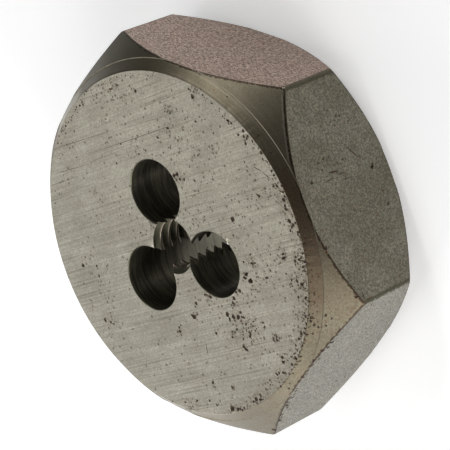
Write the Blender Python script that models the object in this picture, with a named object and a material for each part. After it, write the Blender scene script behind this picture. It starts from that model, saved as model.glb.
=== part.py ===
"""Hex threading die, one piece of hardened tool steel, lying on its back face.

A hexagonal blank is turned on both sides to a flat round face, a sloping band, a narrow ledge and a cone that
runs out to the six corners. Three chip holes are drilled right through around the middle, and a tap cuts the
thread between them. The chip holes break into the tapped bore and leave three toothed lands, whose edges at
the holes do the cutting.

Metres, +Z up. The origin is the middle of the back face and +Z is the axis of the thread. Corners of the
hexagon lie on the X axis, and the chip holes point to every other corner.
"""
import math

import bmesh
import bpy
from mathutils import Matrix, Vector

# Hexagonal blank
ACROSS_FLATS = 0.0254
THICKNESS = 0.009525
CORNER_ROUND = 0.00045  # radius on the six upright edges of the blank
HEX_SIDES = 6

# Turned ends, the same on the front and on the back
BAND_OVERLAP = 0.00003  # the circle at the foot of the band is this much larger in radius than the hexagon's
BAND_WIDTH = 0.00066  # along a radius, from the foot of the band in to the rim of the flat round face
BAND_DEPTH = 0.00064  # from the face to the foot of the band
LEDGE_WIDTH = 0.00007  # flat step between the band and the cone
CONE_ANGLE = math.radians(45.0)  # slope of the cone, measured from the face
FACE_EDGE_BREAK = 0.00008  # how far the broken rim of the round face is set back

# Chip holes
CHIP_HOLES = 3
CHIP_HOLE_DIAMETER = 0.00456
CHIP_HOLE_CIRCLE = 0.00749  # diameter of the circle that the holes stand on
CHIP_HOLE_TURN = math.radians(-2.2)  # the drilled holes stand a little off the corners
CHIP_HOLE_BREAK = 0.00006  # chamfer at the mouths of the holes

# Thread: a right-hand machine screw thread with 60 degree flanks
THREAD_DIAMETER = 0.004166
THREAD_PITCH = 0.00079375
FLANK_ANGLE = math.radians(30.0)  # each flank, measured from square to the axis
CREST_SHARE = 1 / 4  # flat on the die's thread crest, as a share of the pitch
ROOT_SHARE = 1 / 8  # flat at the root of the die's thread, as a share of the pitch
LEAD_IN_DIAMETER = 0.0037  # mouth of the short cone where the thread starts, on both faces
LEAD_IN_ANGLE = math.radians(45.0)  # slope of that cone, measured from the axis

# Cutters and facets
CUT_OVERRUN = 0.001  # how far every cutter stands past the faces
TURNED_STEPS = 120
HOLE_STEPS = 48
THREAD_STEPS = 36
ROUND_STEPS = 4
WELD = 1e-7  # merging distance for points that are meant to meet

# Sizes that follow
CORNER_RADIUS = ACROSS_FLATS / 2 / math.cos(math.pi / HEX_SIDES)
THREAD_DEPTH = THREAD_PITCH * (1 - CREST_SHARE - ROOT_SHARE) / 2 / math.tan(FLANK_ANGLE)
CREST_RADIUS = THREAD_DIAMETER / 2 - THREAD_DEPTH


def clear_scene():
    """Remove whatever the file opened with."""
    for obj in list(bpy.data.objects):
        bpy.data.objects.remove(obj, do_unlink=True)


def tool_steel():
    """Ground high-speed steel: a warm mid grey with a soft shine."""
    steel = bpy.data.materials.new("tool_steel")
    steel.use_nodes = True
    shader = steel.node_tree.nodes["Principled BSDF"]
    shader.inputs["Base Color"].default_value = (0.36, 0.35, 0.31, 1.0)
    shader.inputs["Metallic"].default_value = 0.9
    shader.inputs["Roughness"].default_value = 0.42
    return steel


def new_object(name, bm):
    """Put a bmesh into the scene as an object, with its faces pointing out."""
    bmesh.ops.remove_doubles(bm, verts=bm.verts, dist=WELD)
    bmesh.ops.recalc_face_normals(bm, faces=bm.faces)
    mesh = bpy.data.meshes.new(name)
    bm.to_mesh(mesh)
    bm.free()
    obj = bpy.data.objects.new(name, mesh)
    bpy.context.scene.collection.objects.link(obj)
    return obj


def as_cutter(obj):
    """A cutter only shapes the die: it shows as a wire and never renders."""
    obj.hide_render = True
    obj.display_type = "WIRE"
    return obj


def hex_blank():
    """The hexagonal bar, sawn off a little too long, with its upright edges slightly rounded."""
    bm = bmesh.new()
    upright = Matrix.Translation((0, 0, THICKNESS / 2))
    bmesh.ops.create_cone(
        bm, cap_ends=True, segments=HEX_SIDES, radius1=CORNER_RADIUS, radius2=CORNER_RADIUS,
        depth=THICKNESS + 2 * CUT_OVERRUN, matrix=upright,
    )
    first = min(bm.verts, key=lambda v: abs(math.atan2(v.co.y, v.co.x)))
    turn = -math.atan2(first.co.y, first.co.x)
    bmesh.ops.rotate(bm, verts=bm.verts, cent=(0, 0, 0), matrix=Matrix.Rotation(turn, 3, "Z"))
    corners = [e for e in bm.edges if abs(e.verts[0].co.z - e.verts[1].co.z) > THICKNESS / 2]
    setback = CORNER_ROUND * math.tan(math.pi / HEX_SIDES)
    bmesh.ops.bevel(
        bm, geom=corners, offset=setback, offset_type="OFFSET", segments=ROUND_STEPS, profile=0.5,
        affect="EDGES",
    )
    return new_object("die_body", bm)


def end_profile():
    """One turned end as (radius, depth below the face), from the axis outwards."""
    foot = ACROSS_FLATS / 2 + BAND_OVERLAP
    face = foot - BAND_WIDTH
    slope = math.atan2(BAND_DEPTH, BAND_WIDTH)
    points = [(0, 0), (face - FACE_EDGE_BREAK, 0)]
    points.append((face + FACE_EDGE_BREAK * math.cos(slope), FACE_EDGE_BREAK * math.sin(slope)))
    points.append((foot, BAND_DEPTH))
    ledge = foot + LEDGE_WIDTH
    points.append((ledge, BAND_DEPTH))
    rim = CORNER_RADIUS + CUT_OVERRUN
    points.append((rim, BAND_DEPTH + (rim - ledge) * math.tan(CONE_ANGLE)))
    return points


def turned_shape():
    """The lathe work: everything outside this turned shape is cut away from the blank."""
    back = end_profile()
    front = [(radius, THICKNESS - depth) for radius, depth in reversed(back)]
    bm = bmesh.new()
    chain = [bm.verts.new((radius, 0, height)) for radius, height in back + front]
    edges = [bm.edges.new(pair) for pair in zip(chain, chain[1:])]
    bmesh.ops.spin(
        bm, geom=chain + edges, cent=(0, 0, 0), axis=(0, 0, 1), dvec=(0, 0, 0),
        angle=math.tau, steps=TURNED_STEPS, use_duplicate=False,
    )
    return as_cutter(new_object("turned_shape", bm))


def chip_hole_cutter(index):
    """A drill for one chip hole, with the chamfers of both mouths on it."""
    radius = CHIP_HOLE_DIAMETER / 2
    wide = radius + CHIP_HOLE_BREAK + CUT_OVERRUN
    profile = [
        (0, -CUT_OVERRUN), (wide, -CUT_OVERRUN), (radius, CHIP_HOLE_BREAK),
        (radius, THICKNESS - CHIP_HOLE_BREAK), (wide, THICKNESS + CUT_OVERRUN), (0, THICKNESS + CUT_OVERRUN),
    ]
    bm = bmesh.new()
    chain = [bm.verts.new((r, 0, z)) for r, z in profile]
    edges = [bm.edges.new(pair) for pair in zip(chain, chain[1:])]
    bmesh.ops.spin(
        bm, geom=chain + edges, cent=(0, 0, 0), axis=(0, 0, 1), dvec=(0, 0, 0),
        angle=math.tau, steps=HOLE_STEPS, use_duplicate=False,
    )
    around = CHIP_HOLE_TURN + math.tau * index / CHIP_HOLES
    place = Vector((math.cos(around), math.sin(around), 0)) * CHIP_HOLE_CIRCLE / 2
    bmesh.ops.translate(bm, verts=bm.verts, vec=place)
    return as_cutter(new_object(f"chip_hole_cutter_{index + 1}", bm))


def thread_tooth():
    """One pitch of the tap as (radius, height): a tooth that cuts the die's groove, then the flat beside it."""
    flank = THREAD_DEPTH * math.tan(FLANK_ANGLE)
    crest = CREST_SHARE * THREAD_PITCH
    root = ROOT_SHARE * THREAD_PITCH
    return [
        (CREST_RADIUS, 0),
        (CREST_RADIUS, crest),
        (THREAD_DIAMETER / 2, crest + flank),
        (THREAD_DIAMETER / 2, crest + flank + root),
    ]


def tap_cutter():
    """The tap: a right-hand helix of the tooth, closed at each end by a fan to its axis."""
    tooth = thread_tooth()
    turns = math.ceil((THICKNESS + 2 * CUT_OVERRUN) / THREAD_PITCH) + 1
    bottom = (THICKNESS - (turns + 1) * THREAD_PITCH) / 2
    rows = turns * len(tooth) + 1
    bm = bmesh.new()
    grid = []
    for step in range(THREAD_STEPS):
        around = math.tau * step / THREAD_STEPS
        column = []
        for row in range(rows):
            pitches, point = divmod(row, len(tooth))
            radius, height = tooth[point]
            rise = bottom + (pitches + step / THREAD_STEPS) * THREAD_PITCH + height
            column.append(bm.verts.new((radius * math.cos(around), radius * math.sin(around), rise)))
        grid.append(column)
    # The last column meets the first one pitch higher, so the first column is one tooth longer.
    for row in range(len(tooth)):
        radius, height = tooth[(row + 1) % len(tooth)]
        pitches = turns + (row + 1) // len(tooth)
        grid[0].append(bm.verts.new((radius, 0, bottom + pitches * THREAD_PITCH + height)))
    for step in range(THREAD_STEPS):
        here = grid[step]
        there = grid[step + 1] if step + 1 < THREAD_STEPS else grid[0][len(tooth):]
        for row in range(rows - 1):
            bm.faces.new((here[row], there[row], there[row + 1], here[row + 1]))
    low = bm.verts.new((0, 0, bottom))
    high = bm.verts.new((0, 0, bottom + (turns + 1) * THREAD_PITCH))
    last = len(tooth)
    low_rim = [column[0] for column in grid] + grid[0][last::-1]
    high_rim = [column[rows - 1] for column in grid] + grid[0][rows + last - 1:rows - 1:-1]
    for hub, rim in ((low, low_rim), (high, high_rim)):
        for start, end in zip(rim, rim[1:] + rim[:1]):
            if start is not end:
                bm.faces.new((hub, end, start))
    return as_cutter(new_object("tap_cutter", bm))


def lead_in_cutter(name, face_height, outward):
    """The short cone that lets a screw find the thread, standing past one face."""
    mouth = LEAD_IN_DIAMETER / 2
    widest = mouth + CUT_OVERRUN * math.tan(LEAD_IN_ANGLE)
    tip = mouth / math.tan(LEAD_IN_ANGLE)
    upright = Matrix.Translation((0, 0, (CUT_OVERRUN - tip) / 2))
    # Half a step of turn keeps the cone's edges off those of the thread.
    half_step = Matrix.Rotation(math.pi / THREAD_STEPS, 4, "Z")
    bm = bmesh.new()
    bmesh.ops.create_cone(
        bm, cap_ends=True, segments=THREAD_STEPS, radius1=0, radius2=widest, depth=tip + CUT_OVERRUN,
        matrix=upright @ half_step,
    )
    if outward < 0:
        bmesh.ops.scale(bm, verts=bm.verts, vec=(1, 1, outward))
    bmesh.ops.translate(bm, verts=bm.verts, vec=(0, 0, face_height))
    return as_cutter(new_object(name, bm))


def shape(body, operation, cutter):
    """Work one cutter on the body and keep the result as its mesh."""
    step = body.modifiers.new(cutter.name, "BOOLEAN")
    step.operation = operation
    step.solver = "EXACT"
    step.object = cutter
    graph = bpy.context.evaluated_depsgraph_get()
    made = bpy.data.meshes.new_from_object(body.evaluated_get(graph))
    made.name = body.name
    body.modifiers.clear()
    body.data = made


def finish_surface(body):
    """Smooth shading on the turned and drilled surfaces, sharp at every machined edge."""
    body.data.materials.clear()
    body.data.materials.append(tool_steel())
    body.data.shade_smooth()
    body.data.set_sharp_from_angle(angle=math.radians(25.0))


def hex_die():
    """The whole die, made in the order of its machining."""
    die = hex_blank()
    shape(die, "INTERSECT", turned_shape())
    for index in range(CHIP_HOLES):
        shape(die, "DIFFERENCE", chip_hole_cutter(index))
    shape(die, "DIFFERENCE", tap_cutter())
    shape(die, "DIFFERENCE", lead_in_cutter("lead_in_cutter_front", THICKNESS, 1))
    shape(die, "DIFFERENCE", lead_in_cutter("lead_in_cutter_back", 0, -1))
    finish_surface(die)
    return die


clear_scene()
hex_die()
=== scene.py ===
"""Hex threading die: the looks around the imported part, laid out as a Blender add-on and run as a script.

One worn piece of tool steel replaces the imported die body. It has the same sizes, with finer turning, thread
and edges, and with the pits, chips and rust of an old die. Mesh code works in metres, in the frame of the
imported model, and the shaders work in millimetres. Marks that the photograph shows are given by its pixels,
and stand where the camera's line of sight through the pixel meets the die.
"""
import math
import random

import bmesh
import bpy
from bpy.props import FloatProperty, FloatVectorProperty, IntProperty, PointerProperty
from mathutils import Euler, Matrix, Vector, noise


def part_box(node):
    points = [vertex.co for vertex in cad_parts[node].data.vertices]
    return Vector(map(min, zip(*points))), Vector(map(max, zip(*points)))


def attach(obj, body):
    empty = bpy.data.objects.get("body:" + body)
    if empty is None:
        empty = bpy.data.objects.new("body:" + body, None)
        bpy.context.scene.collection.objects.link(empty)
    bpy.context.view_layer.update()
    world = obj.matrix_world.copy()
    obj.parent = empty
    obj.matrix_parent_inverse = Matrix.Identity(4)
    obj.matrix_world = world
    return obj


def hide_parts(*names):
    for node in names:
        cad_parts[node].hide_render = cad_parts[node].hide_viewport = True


bl_info = {
    "name": "Hex Threading Die",
    "version": (1, 0, 0),
    "blender": (4, 5, 0),
    "location": "View3D > Sidebar > Threading Die",
    "description": "Builds a worn hexagonal threading die round its packed model, with a plain stage",
    "category": "Add Mesh",
}

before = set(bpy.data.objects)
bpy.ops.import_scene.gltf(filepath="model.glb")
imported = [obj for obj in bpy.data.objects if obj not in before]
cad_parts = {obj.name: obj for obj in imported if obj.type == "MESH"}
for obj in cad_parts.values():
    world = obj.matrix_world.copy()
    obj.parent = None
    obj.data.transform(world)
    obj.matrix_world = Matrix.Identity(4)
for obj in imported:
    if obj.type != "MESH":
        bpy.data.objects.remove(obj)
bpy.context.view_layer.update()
DIE_LOW, DIE_HIGH = (Vector(corner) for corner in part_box("die_body"))

PIECE_NAME = "worn_hex_die"
HEX_SIDES = 6
CHIP_HOLES = 3
MM = 0.001
SEED = 11
# Where the corners of the hexagon would be without their rounding
SHARP_CORNER = (DIE_HIGH.y - DIE_LOW.y) / 2 / math.cos(math.pi / HEX_SIDES)

# Camera of the photograph: metres, degrees, and millimetres for the lens
PHOTO_SIZE = 450
CAMERA_PLACE = Vector((0.009502, -0.115646, 0.107064))
CAMERA_TURN = Euler([math.radians(a) for a in (-24.5060, 43.3212, -118.8255)], "XYZ")
CAMERA_LENS = 181.323
SENSOR_WIDTH = 36.0

# Facets of the fine mesh
CORNER_STEPS = 12
FLAT_STEPS = 90
RIM_STEPS = 4
BAND_STEPS = 5
CONE_STEPS = 8
EDGE_STEPS = 3
SIDE_STEPS = 5
HOLE_STEPS = 120
THREAD_STEPS = 96
THREAD_ROUND_STEPS = 3
CUT_OVERRUN = 1.0 * MM
CREEP = 0.002 * MM
WELD = 1e-7

# Form of the thread: flats of crest and root as shares of the pitch, and half the angle between the flanks
CREST_SHARE = 1 / 4
ROOT_SHARE = 1 / 8
HALF_THREAD_ANGLE = math.radians(30)
# The crest is rounded over this share of the pitch on each side of its corners
SOFT_SHARE = 0.06

# Finishes of the die, in the order of its material slots
FINISHES = (
    "ground_face", "turned_band", "scraped_ledge", "turned_cone", "milled_flat_rosy", "milled_flat_green",
    "milled_flat_pale", "drilled_hole", "cut_thread", "bare_lead_in", "rust_pit", "pale_chip", "orange_rust",
)
SLOT = {name: index for index, name in enumerate(FINISHES)}
PIT_FINISHES = ("rust_pit", "orange_rust", "pale_chip")
# Finish of each flat, by the direction that it faces in degrees
FLAT_FINISH = {
    30: "milled_flat_green", 90: "milled_flat_rosy", 150: "milled_flat_green",
    210: "milled_flat_pale", 270: "milled_flat_green", 330: "milled_flat_rosy",
}

# Wear of the rim of a face: noise rates round it, weights of coarse and fine chips, least and further share
# of the wear by how far the place faces -Y, and what the back has all round
CHIP_RATE = 12
COARSE_CHIPS = (3, 0.9)
FINE_CHIPS = (9, 0.6)
WEAR_BY_FACING = (0.15, 0.85)
BACK_FACING = 0.4
# Shares of the wear, inward and down, on the round of the rim: at its corner and where it meets the band
WEAR_AT_CORNER = (0.6, 0.2)
WEAR_AT_BAND = (0.3, 0.7)
# The worn edge of a flat takes this share of a narrow cone at most
EDGE_SHARE_OF_CONE = 0.6
# Edges sharper than this stay sharp in the shading
SHARP_ANGLE = math.radians(28.0)
# Relief of the finishes, which only the light sees, and how thick specks lie on clean steel
BUMP_HEIGHT = 0.02 * MM
SPECKS_ON_CLEAN_STEEL = 0.06

# Shape of a pit: stretch along the surface, depth as a share of its width, and unevenness. A scratch is this
# deep for its width.
PIT_STRETCH = (0.75, 1.35)
PIT_DEPTH = (0.16, 0.28)
PIT_UNEVENNESS = 0.27
SCRATCH_DEPTH = 0.4
# Pits and scratches that reach further than this from their middle have the finer mesh
FINE_PIT = 0.1 * MM
# Pits lie at least this share of their two widths apart
PIT_CLEARANCE = 0.45
# Standard deviation of the widths' logarithm, and how many standard deviations the spread of a group holds
WIDTH_SPREAD = 0.3
GROUP_SPREAD = 1.5
# Pits on the sides that the photograph doesn't show: tries, middle width in millimetres, spread of the
# widths, share on the back, how far they are sought from its middle, and heights on the flats as shares of
# the thickness
HIDDEN_PITS = 420
HIDDEN_WIDTH = 0.11
HIDDEN_WIDTH_SPREAD = 0.35
SHARE_ON_BACK = 0.6
BACK_REACH = 1.1
FLAT_HEIGHTS = (0.1, 0.9)

# Stain of the face round a group of pits: least strength, gain with crowding, reach as a share of the spread,
# and where it starts and ends to fade as shares of the reach
LEAST_STAIN = 0.15
STAIN_GAIN = 8
STAIN_REACH = 0.75
STAIN_FADE = (0.2, 1.2)

# About how many millimetres of the face lie behind a pixel of the photograph
PIXEL_ON_FACE = 0.1
# Stretches round the axis that look unlike the rest, in degrees: middle, how far it is full, where it ends
# Some stretches are painted highlights and painted shade; the rusty ones also carry rust.
SIDES = {
    "Rusty side": (212, 26, 46),
    "Rust and painted shade side": (260, 14, 28),
    "Painted shade corner": (-5, 8, 27),
    "Painted edge highlight": (291, 6, 10),
    "Painted ledge highlight": (303, 12, 24),
    "Painted band highlight": (28, 6, 12),
    "Painted land highlight": (178, 20, 35),
}
# Two pixels of the face: between them a painted light gradient turns it from the duller side to the brighter
# one
PAINTED_LIGHT_ENDS = ((150, 360), (205, 120))

# Groups of pits: pixel of the photograph, spread in pixels, how many, middle width in millimetres, finish
PIT_CLUSTERS = {
    "upper_left_face": ((112, 92), (26, 8), 18, 0.10, "rust_pit"),
    "below_left_rim": ((62, 150), (6, 24), 8, 0.10, "rust_pit"),
    "orange_patch": ((108, 88), (5, 6), 6, 0.16, "orange_rust"),
    "dark_by_orange_patch": ((114, 84), (5, 3), 8, 0.14, "rust_pit"),
    "cream_flecks_left": ((103, 121), (8, 2), 6, 0.17, "pale_chip"),
    "nick_under_top_rim": ((134, 90), (2, 2), 2, 0.14, "rust_pit"),
    "upper_face": ((178, 140), (24, 26), 44, 0.10, "rust_pit"),
    "above_top_hole": ((140, 155), (16, 10), 22, 0.09, "rust_pit"),
    "beside_top_hole": ((178, 177), (6, 3), 14, 0.20, "rust_pit"),
    "left_of_top_hole": ((95, 192), (2, 2), 2, 0.15, "rust_pit"),
    "foot_of_top_hole": ((122, 212), (6, 14), 9, 0.11, "rust_pit"),
    "high_notch_in_rim": ((195, 90), (4, 1.5), 9, 0.20, "rust_pit"),
    "under_high_notch": ((194, 98), (2, 2), 4, 0.17, "rust_pit"),
    "high_middle": ((169, 109), (8, 3), 5, 0.11, "rust_pit"),
    "top_right_rim": ((246, 139), (2, 3), 5, 0.18, "rust_pit"),
    "middle_pit": ((195, 181), (2, 0.7), 3, 0.22, "rust_pit"),
    "upright_dash": ((258, 196), (1.2, 2), 4, 0.20, "rust_pit"),
    "beside_dash": ((265, 192), (5, 4), 5, 0.12, "rust_pit"),
    "right_rim_heap": ((275, 187), (2, 3), 8, 0.22, "rust_pit"),
    "lone_dark_pit": ((233, 218), (1.2, 1.5), 4, 0.22, "rust_pit"),
    "middle_scatter": ((225, 185), (40, 30), 26, 0.09, "rust_pit"),
    "right_of_holes": ((262, 258), (18, 20), 24, 0.11, "rust_pit"),
    "heap_below_right_hole": ((237, 317), (7, 3), 22, 0.26, "rust_pit"),
    "orange_below_right_hole": ((241, 318), (4, 3), 3, 0.14, "orange_rust"),
    "heap_between_holes": ((208, 297), (3, 3), 6, 0.20, "rust_pit"),
    "right_rim_middle": ((300, 260), (4, 7), 26, 0.15, "rust_pit"),
    "right_rim_low": ((300, 285), (9, 10), 30, 0.14, "rust_pit"),
    "band_low": ((316, 272), (6, 3), 5, 0.13, "rust_pit"),
    "band_lower": ((313, 315), (6, 22), 26, 0.13, "rust_pit"),
    "orange_on_band": ((319, 241), (5, 6), 4, 0.15, "orange_rust"),
    "white_chips_low_rim": ((296, 347), (3, 6), 5, 0.18, "pale_chip"),
    "white_chip_right_rim": ((308, 314), (2, 3), 2, 0.15, "pale_chip"),
    "face_low_right": ((276, 338), (4, 3), 12, 0.18, "rust_pit"),
    "by_low_rim": ((287, 360), (6, 6), 12, 0.20, "rust_pit"),
    "face_dashes_low": ((284, 373), (8, 1), 11, 0.20, "rust_pit"),
    "face_foot_right": ((278, 386), (10, 5), 16, 0.15, "rust_pit"),
    "dark_foot_of_face": ((258, 400), (4, 3), 12, 0.28, "rust_pit"),
    "lower_line": ((250, 330), (12, 10), 44, 0.13, "rust_pit"),
    "lower_middle": ((180, 331), (2, 3), 6, 0.22, "rust_pit"),
    "lower_left": ((97, 272), (14, 26), 9, 0.15, "rust_pit"),
    "scratch_foot": ((108, 322), (8, 14), 10, 0.12, "rust_pit"),
    "bottom_rim_left": ((192, 407), (7, 4), 13, 0.19, "rust_pit"),
    "white_spot_low": ((207, 361), (1, 1), 1, 0.26, "pale_chip"),
    "bottom_rim_right": ((238, 409), (6, 1.5), 10, 0.26, "rust_pit"),
    "white_by_right_hole": ((228.0, 241.5), (0.2, 0.2), 1, 0.50, "pale_chip"),
    "white_by_bore": ((190, 262), (0.5, 0.5), 1, 0.22, "pale_chip"),
    "by_right_hole": ((246, 276), (1.2, 3), 5, 0.26, "rust_pit"),
    "under_that": ((250, 281), (2, 0.8), 3, 0.24, "rust_pit"),
    "right_hole_edge": ((237, 291), (2, 3), 6, 0.20, "rust_pit"),
    "dark_pit_right": ((270, 271), (1.5, 1.5), 4, 0.26, "rust_pit"),
    "row_right_of_hole": ((252, 263), (9, 1), 9, 0.19, "rust_pit"),
    "two_dashes_right": ((282, 254), (5, 3), 4, 0.24, "rust_pit"),
    "low_dark_pit_right": ((291, 284), (2, 1), 4, 0.22, "rust_pit"),
    "lone_by_rim": ((303, 286), (1.5, 1.5), 3, 0.24, "rust_pit"),
    "right_rim_foot": ((305, 271), (1.5, 5), 8, 0.22, "rust_pit"),
    "under_right_hole": ((234, 304), (2, 4), 9, 0.18, "rust_pit"),
    "dark_dash_low": ((227, 314), (2.5, 0.7), 5, 0.24, "rust_pit"),
    "left_of_dash": ((196, 305), (1.5, 2.5), 7, 0.20, "rust_pit"),
    "under_left_of_dash": ((195, 315), (2, 2.5), 7, 0.24, "rust_pit"),
    "pair_under_heap": ((235, 336), (3, 5), 9, 0.18, "rust_pit"),
    "faint_under_heap": ((217, 333), (2, 2), 4, 0.20, "rust_pit"),
    "ring_low": ((251, 334), (2, 3), 6, 0.19, "rust_pit"),
    "low_end": ((245, 347), (1.5, 4), 8, 0.21, "rust_pit"),
    "face_foot_pits": ((214, 386), (1.5, 2.5), 4, 0.22, "rust_pit"),
    "face_foot_pit": ((233, 388), (1.5, 1.5), 3, 0.20, "rust_pit"),
    "by_white_chips": ((294, 345), (1.5, 1.5), 4, 0.24, "rust_pit"),
    "rim_dark_line": ((302, 345), (0.8, 6), 12, 0.22, "rust_pit"),
    "rim_heap": ((309, 302), (1.8, 4), 9, 0.27, "rust_pit"),
    "rim_heap_below": ((306, 319), (3, 4), 12, 0.24, "rust_pit"),
    "rim_heap_lowest": ((304, 332), (2.5, 4), 10, 0.24, "rust_pit"),
    "yellow_by_rim": ((282, 193), (1, 1.5), 2, 0.26, "pale_chip"),
    "rim_dents_high": ((285, 208), (2, 4), 7, 0.22, "rust_pit"),
    "rim_dents_low": ((292, 224), (2.5, 6), 12, 0.20, "rust_pit"),
    "face_at_large": ((212, 245), (58, 85), 170, 0.08, "rust_pit"),
    "white_at_second_corner": ((284, 88), (1, 1), 2, 0.17, "pale_chip"),
    "third_corner_cracks": ((361, 298), (3, 3), 7, 0.19, "rust_pit"),
    "third_corner_rust": ((366, 302), (4, 4), 7, 0.20, "orange_rust"),
    "right_flat_scatter": ((345, 170), (24, 50), 44, 0.10, "rust_pit"),
    "right_flat_dashes": ((329, 162), (12, 7), 14, 0.12, "rust_pit"),
    "right_flat_spot": ((372, 166), (0.7, 0.5), 2, 0.20, "rust_pit"),
    "right_flat_far_spot": ((382, 190.5), (1.0, 0.3), 3, 0.20, "rust_pit"),
    "right_flat_near_dash": ((341.5, 168), (0.4, 0.5), 2, 0.17, "rust_pit"),
    "right_flat_edge_spots": ((388, 203), (1.5, 2), 4, 0.16, "rust_pit"),
    "right_flat_high_spots": ((334, 120), (10, 8), 9, 0.12, "rust_pit"),
    "top_flat_scatter": ((220, 55), (50, 22), 60, 0.10, "rust_pit"),
    "low_flat_scatter": ((345, 355), (28, 32), 26, 0.10, "rust_pit"),
    "cone_low_scatter": ((320, 335), (12, 22), 10, 0.10, "rust_pit"),
    "cone_high_scatter": ((255, 100), (20, 10), 6, 0.10, "rust_pit"),
}

# Rows of pits along an edge: both end pixels, spread across in pixels, how many, middle width, finish
PIT_ROWS = {
    "left_rim": ((90, 89), (61, 134), 1.4, 32, 0.13, "rust_pit"),
    "top_rim": ((104, 78), (160, 74), 1.5, 16, 0.10, "rust_pit"),
    "top_right_rim": ((196, 90), (262, 152), 1.5, 34, 0.14, "rust_pit"),
    "right_rim_high": ((265, 158), (300, 228), 1.6, 34, 0.15, "rust_pit"),
    "right_rim": ((300, 229), (307, 275), 2.0, 22, 0.17, "rust_pit"),
    "low_rim_high": ((309, 296), (304, 333), 2.6, 34, 0.18, "rust_pit"),
    "low_rim_foot": ((304, 333), (293, 370), 2.6, 30, 0.17, "rust_pit"),
    "low_flat_edge_high": ((340.3, 330), (301.3, 379), 0.8, 40, 0.25, "rust_pit"),
    "low_flat_edge_foot": ((301.3, 379), (274.3, 430), 0.8, 34, 0.23, "rust_pit"),
    "right_flat_edge": ((316, 234), (362, 296), 0.8, 20, 0.11, "rust_pit"),
    "right_flat_edge_rust": ((320, 243), (343, 275), 1.0, 5, 0.13, "orange_rust"),
    "right_flat_edge_high": ((286, 95), (300, 190), 0.6, 16, 0.08, "rust_pit"),
    "top_flat_edge": ((150, 50), (280, 87), 0.7, 26, 0.09, "rust_pit"),
    "bottom_rim": ((170, 400), (262, 403), 2.0, 14, 0.12, "rust_pit"),
}

# Scratches: both end pixels and the width in millimetres
SCRATCHES = {
    "long_scratch_right_flat": ((344.5, 145.0), (360.0, 159.0), 0.11),
    "low_dash_right_flat": ((328.5, 173.0), (340.0, 170.3), 0.13),
    "low_dash_end_right_flat": ((338.5, 175.0), (344.0, 171.5), 0.08),
    "short_dash_right_flat": ((310.3, 183.7), (313.0, 182.5), 0.20),
    "faint_dash_right_flat": ((323.0, 183.5), (334.0, 178.0), 0.06),
    "faint_dash_far_right_flat": ((343.0, 180.0), (352.0, 176.3), 0.06),
    "crack_by_right_rim": ((252.5, 166.5), (261.5, 171.0), 0.05),
    "crack_at_right_rim": ((261.5, 171.0), (271.5, 180.0), 0.05),
    "dark_line_low_face": ((124.5, 370.0), (142.0, 325.0), 0.04),
    "long_line_left": ((57.0, 148.0), (116.0, 129.0), 0.03),
    "long_line_above_hole": ((92.0, 153.0), (176.0, 124.0), 0.03),
    "line_by_left_rim": ((54.0, 174.0), (91.0, 163.5), 0.03),
    "line_high_left": ((70.0, 108.0), (124.0, 90.5), 0.025),
    "dark_line_mid_face": ((206.0, 343.0), (208.0, 355.0), 0.05),
}

# Lamps: azimuth and elevation in degrees, width and height in metres, power in watts. All face the die, this
# many metres away.
LAMP_DISTANCE = 1.0
LAMPS = {
    "lamp_key": (120, 14, (0.42, 0.42), 5.3),
    "lamp_behind_low": (90, 14, (0.42, 0.42), 1.55),
    "lamp_behind": (90, 40, (0.86, 0.42), 1.1),
    "lamp_left_low": (165, 14, (0.94, 0.42), 4.1),
    "lamp_left": (195, 40, (1.22, 0.42), 2.55),
    "lamp_front_left": (210, 14, (0.42, 0.42), 6.0),
    "lamp_right": (-7, 27, (0.42, 0.86), 3.7),
    "lamp_above": (0, 88, (0.42, 0.42), 0.9),
}
# The floor lies this far under the die. What is seen of it is white up to the first distance from the die's
# axis and has the plain lift beyond the second.
FLOOR_GAP = 0.02 * MM
WHITE_UNDER_DIE = (8 * MM, 11 * MM)


# What every length and every colour of the property groups has alike
LENGTH = {"min": 0.0, "precision": 5, "unit": "LENGTH"}
COLOUR = {"size": 3, "min": 0.0, "max": 1.0, "subtype": "COLOR_GAMMA"}


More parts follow.
